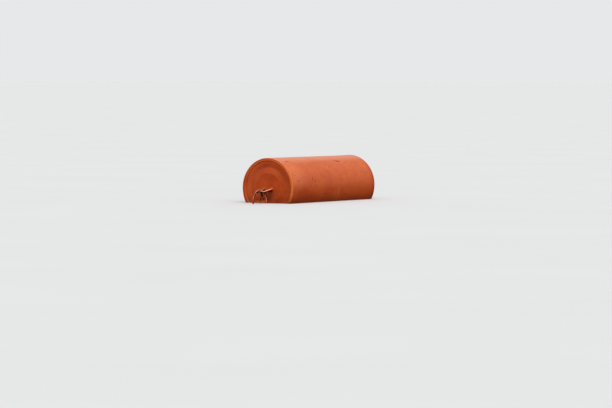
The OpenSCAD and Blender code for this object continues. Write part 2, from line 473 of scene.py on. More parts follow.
def bead(name, line, normal, half_w, height, pitch, slot, seed, closed=True, sink=0.3, across=9):
    """A weld bead along a line, with the scalloped ripples of the weld pool. normal points out of the surface."""
    line = np.asarray(line, float)
    if closed:
        d = unit(np.roll(line, -1, 0) - np.roll(line, 1, 0))
        seg = np.linalg.norm(np.roll(line, -1, 0) - line, axis=1)
        s = np.concatenate([[0], np.cumsum(seg)[:-1]])
        total = seg.sum()
        pitch = total / round(total / pitch)
    else:
        d = unit(np.gradient(line, axis=0))
        s = np.concatenate([[0], np.cumsum(np.linalg.norm(np.diff(line, axis=0), axis=1))])
        total = s[-1]
    n = unit(normal)
    side = unit(np.cross(d, n))
    a = np.radians(np.linspace(-104, 104, across))
    rng = np.random.default_rng(seed)
    slow = waves(seed + 100, 10, 6, 22)(line)
    hw = half_w * (1 + 0.10 * slow)
    hh = height * (1 + 0.14 * waves(seed + 200, 10, 9, 30)(line))
    phase = (s[:, None] / pitch) - 1.15 * (np.sin(a)[None, :] ** 2)
    saw = phase - np.floor(phase)
    ripple = 1 - 0.20 * saw ** 1.6
    x = hw[:, None] * np.sin(a)[None, :]
    z = (hh[:, None] * (np.cos(a)[None, :] * ripple)) - sink * height
    pts = line[:, None, :] + x[:, :, None] * side[:, None, :] + z[:, :, None] * n[:, None, :]
    build = Builder()
    build.grid(pts, wrap_n=closed)
    obj = build.object(name)
    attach(obj, "hull")
    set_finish(obj, slot)
    return obj


def ring_line(x, r, count):
    th = np.linspace(0, 2 * math.pi, count, endpoint=False)
    return np.stack([np.full(count, x), -r * np.sin(th), AXIS_Z + r * np.cos(th)], -1), th


welds = []
for side, end_name in ((-1, "front"), (1, "rear")):
    # between the end plate's knuckle and the rim ring
    line, th = ring_line(side * (HALF_L - 0.0112), 0.2868, 1500)
    out = np.stack([np.full(len(th), side * 1.0), np.zeros(len(th)), np.zeros(len(th))], -1)
    welds.append(bead(f"{end_name}_knuckle_weld", line, out, 0.0031, 0.0020, 0.0052, "rim_paint", 5 + side, across=7))
    # between the rim ring and the shell, in the shell's groove
    line, th = ring_line(side * (HALF_L - RIM_W - 0.0022), 0.29830, 1500)
    out = np.stack([np.zeros(len(th)), -np.sin(th), np.cos(th)], -1)
    welds.append(bead(f"{end_name}_shell_weld", line, out, 0.0034, 0.0014, 0.0056, "shell_paint", 15 + side, across=7, sink=0.2))

# the shell's one long seam, on the side away from the camera, above the waterline
SEAM_A = math.radians(-52)
sx = np.linspace(-(HALF_L - RIM_W - 0.004), HALF_L - RIM_W - 0.004, 1900)
sa = SEAM_A + 0.0020 * np.sin(sx * 9.0) + 0.0008 * np.sin(sx * 31.0)
sr = shell_radius(sx, sa)
line = on_cylinder(sx, sa, sr)
out = np.stack([np.zeros(len(sx)), -np.sin(sa), np.cos(sa)], -1)
welds.append(bead("seam_weld", line, out, 0.0042, 0.0016, 0.0050, "shell_paint", 31, closed=False, sink=0.35, across=7))


def foot_line(side, y, count=260):
    """Where the fillet runs round one foot of a hoop. The bar leans down, so the line is a little longer up and down."""
    a = np.linspace(0, 2 * math.pi, count, endpoint=False)
    r = 0.0156
    line = np.stack([np.full(count, side * (DISC_X + 0.0032)), y + r * np.cos(a), FOOT_Z + r * 1.02 * np.sin(a) - 0.0006], -1)
    out = np.stack([np.full(count, side * 0.9), np.cos(a), np.sin(a)], -1)
    return line, out


for side, end_name in ((-1, "front"), (1, "rear")):
    for y in (-FOOT_Y, FOOT_Y):
        line, out = foot_line(side, y)
        tag = "right" if y < 0 else "left"
        welds.append(bead(f"{end_name}_foot_weld_{tag}", line, out, 0.0058, 0.0024, 0.0046, "hoop_paint", int(50 + 9 * side + y * 100), across=9, sink=0.45))

# round the plug's boss
a = np.linspace(0, 2 * math.pi, 320, endpoint=False)
boss = np.array([0.0, math.sin(math.radians(40)) * 0.234, math.cos(math.radians(40)) * 0.234])
for cand in (1, -1):
    lo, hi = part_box("test_plug_boss")
    if lo[1] <= cand * boss[1] <= hi[1]:
        boss_y = cand * boss[1]
line = np.stack([np.full(320, HALF_L - 0.0195), boss_y + 0.0252 * np.cos(a), AXIS_Z + boss[2] + 0.0252 * np.sin(a)], -1)
out = np.stack([np.full(320, 0.9), np.cos(a), np.sin(a)], -1)
welds.append(bead("boss_weld", line, out, 0.0042, 0.0026, 0.0042, "end_paint", 77, across=9, sink=0.45))


# ---------------------------------------------------------------- mooring rings

def make_ring(name, node, body, side, y0, seed):
    """A ring of round bar, closed by a butt weld, a little uneven from rust, and worn where it rides on the hoop."""
    n, m = 260, 28
    R, r = RING_R, 0.008
    drop = R - (HOOP_R + 0.0007 + r)
    cx, cz = side * CROWN_X, CROWN_Z - drop
    a = np.linspace(0, 2 * math.pi, n, endpoint=False)      # from the top
    b = np.linspace(0, 2 * math.pi, m, endpoint=False)
    A, B = np.meshgrid(a, b, indexing="ij")
    p = np.stack([np.sin(A) * (R + r * np.cos(B)), r * np.sin(B), np.cos(A) * (R + r * np.cos(B))], -1)
    rough = waves(seed, 40, 25, 70)(p) * 0.00013 + waves(seed + 1, 40, 110, 200)(p) * 0.00005
    joint = np.mod(A - math.radians(126) + math.pi, 2 * math.pi) - math.pi
    weld = 0.0007 * np.exp(-(joint * R / 0.0042) ** 2) * (1 + 0.25 * np.sin(B * 7))
    rr = r - 0.00022 + rough + weld
    top = np.mod(A + math.pi, 2 * math.pi) - math.pi
    rr -= 0.0010 * np.exp(-(top * R / 0.020) ** 2) * np.clip(-np.cos(B), 0, 1) ** 2   # worn on its inner side at the top
    pts = np.stack([cx + np.sin(A) * (R + rr * np.cos(B)), y0 + rr * np.sin(B), cz + np.cos(A) * (R + rr * np.cos(B))], -1)
    verts = pts.reshape(-1, 3).tolist()
    obj = mesh_object(name, verts, grid_faces(n, m, True, True, flip=True))
    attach(obj, body)
    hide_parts(node)
    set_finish(obj, "ring_paint")
    return obj


ring_front = make_ring("front_ring_bar", "front_mooring_ring", "front_ring", -1, 0.001, 91)
ring_rear = make_ring("rear_ring_bar", "rear_mooring_ring", "rear_ring", 1, 0.0, 93)


# ---------------------------------------------------------------- materials

class Tree:
    """Short calls that add shader nodes to one material."""

    def __init__(self, name):
        self.mat = bpy.data.materials.new(name)
        self.mat.use_nodes = True
        self.t = self.mat.node_tree
        self.t.nodes.clear()
        self.out = self.t.nodes.new("ShaderNodeOutputMaterial")
        self.bsdf = self.t.nodes.new("ShaderNodeBsdfPrincipled")
        self.t.links.new(self.bsdf.outputs[0], self.out.inputs[0])
        self.co = self.t.nodes.new("ShaderNodeTexCoord")
        self.P = self.co.outputs["Object"]
        self.N = self.co.outputs["Normal"]
        sep = self.node("ShaderNodeSeparateXYZ")
        self.link(self.P, sep.inputs[0])
        self.x, self.y, self.z = sep.outputs
        sep = self.node("ShaderNodeSeparateXYZ")
        self.link(self.N, sep.inputs[0])
        self.nx, self.ny, self.nz = sep.outputs

    def node(self, kind, **props):
        n = self.t.nodes.new(kind)
        for k, v in props.items():
            setattr(n, k, v)
        return n

    def link(self, a, b):
        if isinstance(a, bpy.types.NodeSocket):
            self.t.links.new(a, b)
        else:
            b.default_value = a

    def m(self, op, a, b=None, c=None, clamp=False):
        n = self.node("ShaderNodeMath", operation=op, use_clamp=clamp)
        for k, v in enumerate((a, b, c)):
            if v is not None:
                self.link(v, n.inputs[k])
        return n.outputs[0]

    def add(self, a, b): return self.m("ADD", a, b)
    def sub(self, a, b): return self.m("SUBTRACT", a, b)
    def mul(self, a, b): return self.m("MULTIPLY", a, b)

    def step(self, v, low, high, to=(0.0, 1.0)):
        """Smooth step of v from low to high; low may be the greater."""
        flip = low > high
        n = self.node("ShaderNodeMapRange", interpolation_type="SMOOTHSTEP", clamp=True)
        self.link(v, n.inputs["Value"])
        n.inputs["From Min"].default_value, n.inputs["From Max"].default_value = (high, low) if flip else (low, high)
        n.inputs["To Min"].default_value, n.inputs["To Max"].default_value = (to[1], to[0]) if flip else to
        return n.outputs[0]

    def vec(self, x, y, z):
        n = self.node("ShaderNodeCombineXYZ")
        for k, v in enumerate((x, y, z)):
            self.link(v, n.inputs[k])
        return n.outputs[0]

    def scaled(self, v, s, off=(0, 0, 0)):
        n = self.node("ShaderNodeMapping")
        self.link(v, n.inputs["Vector"])
        n.inputs["Scale"].default_value = s if isinstance(s, tuple) else (s, s, s)
        n.inputs["Location"].default_value = off
        return n.outputs[0]

    def noise(self, v, scale, detail=3.0, rough=0.55, dist=0.0):
        n = self.node("ShaderNodeTexNoise")
        self.link(v, n.inputs["Vector"])
        n.inputs["Scale"].default_value = scale
        n.inputs["Detail"].default_value = detail
        n.inputs["Roughness"].default_value = rough
        n.inputs["Distortion"].default_value = dist
        return n.outputs[0]

    def cells(self, v, scale, feature="F1", rand=1.0):
        n = self.node("ShaderNodeTexVoronoi", feature=feature)
        self.link(v, n.inputs["Vector"])
        n.inputs["Scale"].default_value = scale
        n.inputs["Randomness"].default_value = rand
        return n.outputs["Distance"]

    def mix(self, f, a, b, blend="MIX"):
        n = self.node("ShaderNodeMix", data_type="RGBA", blend_type=blend)
        self.link(f, n.inputs[0])
        for v, k in ((a, 6), (b, 7)):
            self.link(v if isinstance(v, bpy.types.NodeSocket) else (*v, 1.0), n.inputs[k])
        return n.outputs[2]

    def lerp(self, f, a, b):
        n = self.node("ShaderNodeMix", data_type="FLOAT")
        self.link(f, n.inputs[0])
        self.link(a, n.inputs[2])
        self.link(b, n.inputs[3])
        return n.outputs[0]

    def bump(self, height, dist, strength=1.0, normal=None):
        n = self.node("ShaderNodeBump")
        self.link(height, n.inputs["Height"])
        n.inputs["Distance"].default_value = dist
        n.inputs["Strength"].default_value = strength
        if normal is not None:
            self.link(normal, n.inputs["Normal"])
        return n.outputs[0]

    def finish(self, color, rough, normal, metallic=None, spec=0.5):
        self.link(color, self.bsdf.inputs["Base Color"])
        self.link(rough, self.bsdf.inputs["Roughness"])
        self.link(normal, self.bsdf.inputs["Normal"])
        if metallic is not None:
            self.link(metallic, self.bsdf.inputs["Metallic"])
        self.bsdf.inputs["Specular IOR Level"].default_value = spec
        return self.mat


DEEP = (0.470, 0.053, 0.0040)
MAIN = (0.560, 0.080, 0.0070)
CHALK_AND_SHEEN = (0.700, 0.215, 0.095)
GRIME = (0.120, 0.050, 0.022)
WET_STAIN_AND_SHADE = (0.230, 0.036, 0.004)
PRIMER = (0.160, 0.035, 0.020)
RUST = (0.130, 0.045, 0.018)
RUST_LIGHT = (0.330, 0.115, 0.035)
SLIME = (0.050, 0.048, 0.018)
STEEL = (0.170, 0.150, 0.135)

# Scuffs on the shell's camera side: place, angle from the top, half length, half width, turn, strength
MARKS = [
    (0.268, 34.5, 0.052, 0.010, 3, 0.90), (0.215, 30.5, 0.075, 0.006, 9, 0.40), (-0.620, 29.5, 0.036, 0.010, 8, 0.60),
    (-0.340, 78.0, 0.017, 0.012, 20, 0.55), (-0.375, 72.5, 0.012, 0.040, 38, 0.32), (0.215, 107, 0.036, 0.008, 0, 0.50),
    (-0.168, 104, 0.040, 0.008, 0, 0.45), (-0.632, 76, 0.034, 0.009, 0, 0.40), (0.155, 97, 0.006, 0.050, 0, 0.45),
    (0.470, 84, 0.050, 0.006, -4, 0.25), (-0.430, 60, 0.060, 0.005, 14, 0.22), (-0.130, 46, 0.045, 0.004, -9, 0.18),
]


def paint(name, part, tone=None):
    """Sun-bleached orange paint on steel, with light and shade painted into parts of it. part is shell, end, rim, hoop
    or ring.
    """
    g = Tree(name)
    up = g.sub(g.z, AXIS_Z)
    th = g.m("ARCTAN2", g.mul(g.y, -1.0), up)                 # from the top, growing towards the camera's side
    rad = g.m("SQRT", g.add(g.mul(g.y, g.y), g.mul(up, up)))
    arc = g.vec(g.x, g.mul(th, HULL_R), rad)

    big = g.noise(g.P, 2.6, 3, 0.6)
    mid = g.noise(g.P, 11.0, 4, 0.6, 0.4)
    fine = g.noise(g.P, 85.0, 4, 0.65)
    grain = g.noise(g.P, 420.0, 2, 0.5)

    # sound paint, with a slow change of depth and the small patches of an uneven coat
    col = g.mix(g.step(big, 0.32, 0.68), DEEP, MAIN)
    col = g.mix(g.mul(g.step(mid, 0.40, 0.72), 0.45), col, (0.620, 0.112, 0.022))
    # paler and chalkier on upward faces and palest on the very top: partly sun bleaching, partly a painted highlight
    # for the sky's sheen on the top
    sun = g.step(g.nz, -0.15, 1.0)
    patch = g.step(g.add(g.mul(big, 0.5), g.mul(mid, 0.5)), 0.34, 0.66, (0.72, 1.0))
    bleach_and_top_highlight = g.mul(g.m("POWER", sun, 1.6), patch)
    col = g.mix(g.mul(bleach_and_top_highlight, 0.62), col, CHALK_AND_SHEEN)
    col = g.mix(g.mul(g.step(g.nz, 0.80, 1.0), 0.62), col, (0.740, 0.330, 0.215))
    # fine speckle
    col = g.mix(g.mul(g.step(fine, 0.56, 0.80), 0.20), col, (0.72, 0.22, 0.085))
    col = g.mix(g.mul(g.step(fine, 0.40, 0.22), 0.25), col, (0.24, 0.035, 0.009))

    if part == "shell":
        # the front third is bleached further
        front = g.mul(g.step(g.x, -0.36, -0.70), g.step(g.m("ABSOLUTE", g.sub(th, 1.05)), 0.62, 0.20))
        col = g.mix(g.mul(front, 0.50), col, (0.800, 0.215, 0.082))
        # painted light: a paler band along both flanks
        painted_flank_light = g.mul(g.step(g.m("ABSOLUTE", th), 0.62, 0.95), g.step(g.m("ABSOLUTE", th), 1.66, 1.38))
        col = g.mix(g.mul(painted_flank_light, 0.16), col, (0.860, 0.225, 0.095))

    # runs of rain-washed dirt down the sides
    if part == "shell":
        run_v = g.scaled(arc, (46.0, 2.1, 0.0))
        run = g.noise(run_v, 1.0, 4, 0.62)
        runs = g.mul(g.step(run, 0.55, 0.78), g.mul(g.step(g.m("ABSOLUTE", th), 0.45, 1.35), g.step(mid, 0.30, 0.62)))
        col = g.mix(g.mul(runs, 0.28), col, (0.250, 0.070, 0.022))
        pale = g.mul(g.step(g.noise(g.scaled(arc, (64.0, 2.6, 0.0), (3.1, 1.7, 0)), 1.0, 3, 0.6), 0.60, 0.80), g.step(g.m("ABSOLUTE", th), 0.5, 1.2))
        col = g.mix(g.mul(pale, 0.20), col, (0.640, 0.170, 0.060))
    else:
        run = g.noise(g.scaled(g.P, (3.0, 44.0, 3.4)), 1.0, 4, 0.62)
        runs = g.mul(g.step(run, 0.55, 0.80), g.step(mid, 0.32, 0.64))
        col = g.mix(g.mul(runs, 0.20), col, (0.250, 0.068, 0.022))

    bump_h = g.add(g.mul(g.noise(g.P, 230.0, 2, 0.5), 0.5), g.mul(fine, 0.9))
    chip_here = None

    if part == "shell":
        # scuffs and scrapes
        scuff = None
        for x0, a, hl, hw, turn, amount in MARKS:
            v = g.node("ShaderNodeVectorMath", operation="SUBTRACT")
            g.link(g.vec(g.x, g.mul(th, HULL_R), 0.0), v.inputs[0])
            v.inputs[1].default_value = (x0, math.radians(a) * HULL_R, 0)
            rot = g.node("ShaderNodeVectorRotate", rotation_type="Z_AXIS")
            g.link(v.outputs[0], rot.inputs["Vector"])
            rot.inputs["Angle"].default_value = -math.radians(turn)
            sc = g.node("ShaderNodeVectorMath", operation="DIVIDE")
            g.link(rot.outputs[0], sc.inputs[0])
            sc.inputs[1].default_value = (hl, hw, 1)
            ln = g.node("ShaderNodeVectorMath", operation="LENGTH")
            g.link(sc.outputs[0], ln.inputs[0])
            edge = g.add(ln.outputs["Value"], g.mul(g.sub(g.noise(g.P, 60.0, 4, 0.7), 0.5), 1.7))
            k = g.mul(g.step(edge, 1.1, 0.35), amount)
            scuff = k if scuff is None else g.m("MAXIMUM", scuff, k)
        col = g.mix(scuff, col, (0.150, 0.034, 0.014))
        smudge = g.mul(g.step(g.noise(g.scaled(arc, (1.0, 1.5, 0.0)), 21.0, 5, 0.68, 0.25), 0.53, 0.69), g.step(g.m("ABSOLUTE", th), 0.30, 0.80, (0.25, 1.0)))
        col = g.mix(g.mul(smudge, 0.38), col, (0.300, 0.048, 0.008))
        fleck = g.step(g.noise(g.scaled(arc, (0.6, 1.5, 0.0)), 48.0, 4, 0.62), 0.58, 0.74)
        col = g.mix(g.mul(fleck, 0.22), col, (0.820, 0.260, 0.120))
        # fine scratches along the drum
        for k, (turn, off) in enumerate(((0.10, 0.0), (-0.45, 3.7), (1.15, 8.1))):
            rot = g.node("ShaderNodeVectorRotate", rotation_type="Z_AXIS")
            g.link(g.vec(g.x, g.mul(th, HULL_R), 0.0), rot.inputs["Vector"])
            rot.inputs["Angle"].default_value = turn
            line_n = g.noise(g.scaled(rot.outputs[0], (3.5, 260.0, 1.0), (off, off, 0)), 1.0, 2, 0.5)
            keep = g.step(g.noise(g.scaled(g.P, 1.0, (off, 0, off)), 5.5, 2, 0.5), 0.54, 0.66)
            col = g.mix(g.mul(g.mul(g.step(line_n, 0.69, 0.735), keep), 0.40), col, (0.780, 0.300, 0.160) if k != 1 else (0.180, 0.040, 0.014))
        ln = g.node("ShaderNodeVectorMath", operation="LENGTH")
        g.link(g.vec(g.m("DIVIDE", g.add(g.x, 0.662), 0.034), g.m("DIVIDE", g.sub(g.mul(th, HULL_R), 0.128), 0.0055), 0.0), ln.inputs[0])
        scrape = g.step(g.add(ln.outputs["Value"], g.mul(g.sub(g.noise(g.P, 70.0, 4, 0.7), 0.5), 1.5)), 1.05, 0.45)
        col = g.mix(g.mul(scrape, 0.62), col, (0.860, 0.480, 0.340))
        # a pale dribble beside a dark one, from the waist down to the waterline
        edge = g.m("ABSOLUTE", g.sub(g.x, g.add(0.087, g.mul(g.sub(g.noise(g.P, 24.0, 2, 0.5), 0.5), 0.010))))
        dribble = g.mul(g.step(edge, 0.0095, 0.002), g.step(th, 1.48, 1.72))
        col = g.mix(g.mul(dribble, 0.50), col, (0.640, 0.230, 0.110))
        # painted shade: darker and redder beside the far rim, most where the shell turns away from the top
        painted_far_shade = g.mul(g.step(g.x, 0.680, 0.726), g.step(g.nz, 0.98, 0.45, (0.20, 1.0)))
        col = g.mix(g.mul(painted_far_shade, 0.42), col, (0.400, 0.030, 0.003))
        chip_here = g.step(g.m("ABSOLUTE", g.x), 0.715, 0.738)
    if part == "end":
        # painted light and shade: the cone is lighter at its top and left and darker at its right, the trough lighter
        # at its left and darker at its top, right and bottom
        high = g.step(g.m("DIVIDE", up, rad), 0.10, 0.95)
        left = g.step(g.m("DIVIDE", g.y, rad), 0.10, 0.95)
        right = g.step(g.m("DIVIDE", g.y, rad), -0.10, -0.90)
        cone = g.mul(g.step(rad, 0.149, 0.158), g.step(rad, 0.208, 0.200))
        col = g.mix(g.mul(cone, g.mul(g.m("MAXIMUM", g.mul(high, 0.75), g.mul(left, 0.9)), 0.18)), col, (0.700, 0.150, 0.040))
        ledge = g.mul(g.step(rad, 0.144, 0.149), g.step(rad, 0.156, 0.151))
        col = g.mix(g.mul(ledge, g.step(fine, 0.30, 0.62, (0.05, 0.24))), col, (0.690, 0.190, 0.065))
        trough = g.mul(g.step(rad, 0.203, 0.212), g.step(rad, 0.262, 0.254))
        shaded_sides = g.m("MAXIMUM", g.m("MAXIMUM", high, right), g.mul(g.step(up, 0.0, -0.16), 0.9))
        # painted light on the top of the knuckle's inner slope, which faces down into its own shade
        painted_valley_light = g.mul(g.mul(g.step(rad, 0.236, 0.262), g.step(rad, 0.280, 0.272)), high)
        col = g.mix(g.mul(painted_valley_light, 0.80), col, (1.000, 0.165, 0.030))
        col = g.mix(g.mul(g.mul(trough, left), 0.26), col, (0.860, 0.200, 0.060))
        col = g.mix(g.mul(g.mul(g.step(rad, 0.149, 0.158), g.step(rad, 0.208, 0.200)), g.mul(right, 0.10)), col, (0.165, 0.030, 0.008))
        # darker in the valley inside the knuckle (but not at its top), in the groove outside it, and in the trough at
        # its top, right and bottom; at the top and right this is painted shade
        valley = g.mul(g.mul(g.step(rad, 0.255, 0.2615), g.step(rad, 0.270, 0.2640)), g.sub(1.0, high))
        groove = g.mul(g.step(rad, 0.2835, 0.2868), g.step(rad, 0.2945, 0.2890))
        recess_darkening = g.m("MAXIMUM", g.mul(valley, 0.24), g.mul(groove, 0.30))
        recess_darkening = g.m("MAXIMUM", recess_darkening, g.mul(g.mul(trough, shaded_sides), 0.14))
        recess_darkening = g.mul(recess_darkening, g.step(fine, 0.22, 0.60, (0.60, 1.0)))
        col = g.mix(recess_darkening, col, (0.165, 0.030, 0.008))
        # painted highlight on the knuckle's crest, brightest at its top and right
        crest = g.mul(g.step(rad, 0.265, 0.274), g.step(rad, 0.288, 0.284))
        lit = g.m("MAXIMUM", high, g.m("MAXIMUM", right, g.mul(left, 0.15)))
        col = g.mix(g.mul(g.mul(crest, lit), 0.95), col, (1.000, 0.235, 0.050))
        # a painted shadow of the hoop and ring on the plate below them, with a ragged edge
        v = g.node("ShaderNodeVectorMath", operation="LENGTH")
        g.link(g.vec(g.m("DIVIDE", g.add(g.y, 0.008), 0.066), g.m("DIVIDE", g.add(up, 0.072), 0.062), 0.0), v.inputs[0])
        edge = g.add(v.outputs["Value"], g.mul(g.sub(g.noise(g.P, 42.0, 4, 0.65), 0.5), 1.1))
        near = g.step(g.x, 0.2, -0.2, (0.35, 1.0))
        painted_hoop_shadow = g.mul(g.step(edge, 1.15, 0.45), near)
        col = g.mix(g.mul(painted_hoop_shadow, g.step(fine, 0.25, 0.65, (0.42, 0.62))), col, (0.160, 0.028, 0.009))
        # a painted dark shadow line on the plate just under the hoop's bar
        painted_bar_shadow = g.mul(g.step(g.m("ABSOLUTE", g.add(up, g.add(0.031, g.mul(g.sub(fine, 0.5), 0.008)))), 0.011, 0.005), g.step(g.m("ABSOLUTE", g.y), 0.066, 0.050))
        col = g.mix(g.mul(g.mul(painted_bar_shadow, near), 0.92), col, (0.018, 0.006, 0.004))
        # rust that has run from the hoop's feet
        for y0 in (-FOOT_Y, FOOT_Y):
            dy = g.m("ABSOLUTE", g.sub(g.y, y0))
            width = g.add(0.013, g.mul(g.sub(g.noise(g.scaled(g.P, (1, 1, 0.35)), 70.0, 3, 0.6), 0.5), 0.022))
            streak = g.mul(g.mul(g.m("LESS_THAN", dy, width), g.step(up, -0.016, -0.028)), g.step(up, -0.150, -0.040))
            col = g.mix(g.mul(streak, g.step(g.noise(g.scaled(g.P, (1, 5, 0.5)), 40.0, 3, 0.6), 0.35, 0.70, (0.10, 0.42))), col, (0.300, 0.085, 0.022))
        chip_here = g.mul(g.step(rad, 0.268, 0.279), g.step(rad, 0.287, 0.281))
    if part == "rim":
        # painted highlight at the rim's top and right side
        high = g.step(g.m("DIVIDE", up, rad), 0.0, 0.9)
        right = g.step(g.m("DIVIDE", g.y, rad), -0.20, -0.85)
        col = g.mix(g.mul(g.m("MAXIMUM", high, right), 0.70), col, (0.900, 0.235, 0.065))
        # painted shade on the far rim, darker red where it turns away from the top
        col = g.mix(g.mul(g.step(g.x, 0.0, 0.1), g.step(g.nz, 0.90, 0.40, (0.15, 0.70))), col, (0.430, 0.036, 0.006))
        chip_here = g.step(rad, 0.2900, 0.2960)
    if part == "hoop":
        # painted highlight along the top of the leg that faces the sun, painted shade underneath
        bar = g.step(g.m("ABSOLUTE", g.x), DISC_X + 0.008, DISC_X + 0.016)
        top = g.mul(g.mul(bar, g.step(g.nz, 0.30, 0.92)), g.step(g.y, 0.006, -0.020, (0.18, 1.0)))
        col = g.mix(g.mul(top, g.step(mid, 0.30, 0.62, (0.70, 1.0))), col, (1.000, 0.400, 0.190))
        # painted shade: the front hoop's leg on the +Y side darker, most towards the plate
        col = g.mix(g.mul(g.mul(g.step(g.y, 0.004, 0.024), g.step(g.m("ABSOLUTE", g.x), CROWN_X - 0.004, CROWN_X - 0.030, (0.35, 1.0))), g.step(g.x, 0.2, -0.2, (0.0, 0.55))), col, (0.360, 0.042, 0.008))
        painted_underside_shade = g.mul(g.step(g.nz, 0.42, 0.02), g.step(g.m("ABSOLUTE", g.x), DISC_X + 0.004, DISC_X + 0.012, (0.4, 1.0)))
        col = g.mix(g.mul(painted_underside_shade, 0.90), col, (0.034, 0.008, 0.004))
    if part == "ring":
        # painted highlight where it faces outboard and up, painted shade on its sides and within
        out = g.add(g.m("MAXIMUM", g.mul(g.nx, g.m("SIGN", g.x)), g.mul(g.nz, 1.15)), g.mul(g.sub(fine, 0.5), 0.16))
        away = g.sub(g.m("ABSOLUTE", g.x), CROWN_X)
        col = g.mix(g.mul(g.step(out, 0.84, 0.58), 0.90), col, (0.050, 0.012, 0.006))
        low = g.mul(g.step(g.z, 0.066, 0.036), g.step(away, 0.0, 0.03))
        col = g.mix(g.mul(g.mul(g.step(out, 0.80, 0.94), g.sub(1.0, low)), 0.85), col, (0.900, 0.275, 0.115))
        # painted highlight on the part of the ring nearer the plate, where it faces outboard
        painted_near_limb_highlight = g.mul(g.step(away, -0.050, -0.085), g.mul(g.step(out, 0.62, 0.84), g.step(g.z, 0.004, 0.020)))
        col = g.mix(g.mul(painted_near_limb_highlight, 0.95), col, (1.000, 0.370, 0.170))
    if part in ("hoop", "ring"):
        chip_here = g.m("MAXIMUM", g.step(mid, 0.45, 0.75), 0.25)

    # chips through the coat: primer at their edges and rust inside, mostly on edges
    chip_n = g.add(g.mul(g.noise(g.P, 34.0, 5, 0.70), 0.72), g.mul(g.noise(g.P, 150.0, 3, 0.6), 0.28))
    amount = {"shell": 0.060, "end": 0.050, "rim": 0.075, "hoop": 0.100, "ring": 0.150}[part]
    limit = g.sub(0.668, g.mul(chip_here, amount))
    over = g.sub(chip_n, limit)
    primer = g.step(over, -0.004, 0.004)
    rust = g.step(over, 0.008, 0.022)
    halo = g.mul(g.step(over, -0.050, 0.0), 0.30)
    col = g.mix(halo, col, RUST_LIGHT)
    col = g.mix(primer, col, PRIMER)
    rust_col = g.mix(g.step(grain, 0.35, 0.65), RUST, RUST_LIGHT)
    col = g.mix(rust, col, rust_col)

    worn = None
    if part == "hoop":
        # bare and brown where the ring rides
        near = g.step(g.m("ABSOLUTE", g.sub(g.m("ABSOLUTE", g.x), CROWN_X)), 0.020, 0.012)
        dy = g.m("ABSOLUTE", g.sub(g.y, g.m("MULTIPLY", g.m("LESS_THAN", g.x, 0.0), 0.001)))
        dy = g.add(dy, g.mul(g.sub(fine, 0.5), 0.008))
        worn = g.mul(near, g.step(dy, 0.013, 0.008))
    if part == "ring":
        top_z = CROWN_Z
        d = g.m("SQRT", g.add(g.m("POWER", g.sub(g.m("ABSOLUTE", g.x), CROWN_X), 2.0), g.m("POWER", g.sub(g.z, top_z + 0.0), 2.0)))
        worn = g.step(g.add(d, g.mul(g.sub(fine, 0.5), 0.010)), 0.034, 0.022)
    if worn is not None:
        col = g.mix(g.mul(worn, 0.80), col, g.mix(g.step(grain, 0.3, 0.7), (0.460, 0.165, 0.080), (0.360, 0.200, 0.140)))

    # waterline: a wet, dirty band that is also painted shade low on the drum, then slime and rust below it
    lift = g.add(g.mul(g.sub(g.noise(g.scaled(g.P, (1, 1, 0.4)), 9.0, 4, 0.6), 0.5), 0.060), g.mul(g.sub(fine, 0.5), 0.012))
    zz = g.add(g.z, lift)
    damp_and_shade = g.step(zz, 0.040 if part == "ring" else 0.125, -0.010)
    col = g.mix(g.mul(g.m("POWER", damp_and_shade, 1.6), 0.66), col, WET_STAIN_AND_SHADE)
    blot = g.mul(g.step(zz, 0.085, 0.012), g.step(g.noise(g.scaled(g.P, (1, 1, 1.6)), 38.0, 4, 0.65), 0.50, 0.68))
    col = g.mix(g.mul(blot, 0.42), col, (0.085, 0.032, 0.012))
    scum = g.mul(g.step(zz, 0.020, 0.004), g.step(g.noise(g.P, 55.0, 4, 0.7), 0.34, 0.62))
    col = g.mix(g.mul(scum, 0.45), col, GRIME)
    if part == "shell":
        # deeper and redder low on the flank: partly wet paint, partly painted shade
        deep = g.mul(g.step(g.z, 0.115, 0.015), g.step(g.z, 0.0, 0.004))
        col = g.mix(g.mul(deep, 0.85), col, (1.140, 0.880, 0.420), "MULTIPLY")
    if part == "end":
        # a painted reflection of light from the water: a brighter strip at the waterline, with a ragged edge
        ragged = g.mul(g.sub(g.noise(g.scaled(g.P, (1.0, 1.0, 1.4)), 32.0, 4, 0.65), 0.5), 0.030)
        painted_water_reflection = g.mul(g.mul(g.step(g.z, 0.000, 0.006), g.step(g.add(g.z, ragged), 0.036, 0.014)), g.step(g.x, 0.2, -0.2))
        painted_water_reflection = g.mul(painted_water_reflection, g.step(g.add(g.m("ABSOLUTE", g.sub(g.y, 0.090)), g.mul(ragged, 2.0)), 0.092, 0.030, (0.16, 1.0)))
        col = g.mix(g.mul(painted_water_reflection, g.step(fine, 0.25, 0.60, (0.60, 0.95))), col, (1.000, 0.165, 0.012))
    under = g.step(zz, 0.004, -0.016)
    slime_col = g.mix(g.step(g.noise(g.P, 16.0, 4, 0.65), 0.38, 0.66), SLIME, (0.110, 0.060, 0.022))
    slime_col = g.mix(g.mul(g.step(g.noise(g.P, 60.0, 3, 0.6), 0.50, 0.72), 0.6), slime_col, (0.150, 0.120, 0.050))
    slime_col = g.mix(g.step(big, 0.60, 0.74), slime_col, (0.230, 0.052, 0.018))
    col = g.mix(under, col, slime_col)

    if tone:
        col = g.mix(1.0, col, tone, "MULTIPLY")

    rough = g.lerp(g.step(mid, 0.3, 0.7), 0.46, 0.60)
    rough = g.lerp(bleach_and_top_highlight, rough, 0.66)
    rough = g.lerp(primer, rough, 0.80)
    wet = g.step(zz, 0.030, 0.002)
    rough = g.lerp(wet, rough, 0.34)
    if worn is not None:
        rough = g.lerp(worn, rough, 0.42)

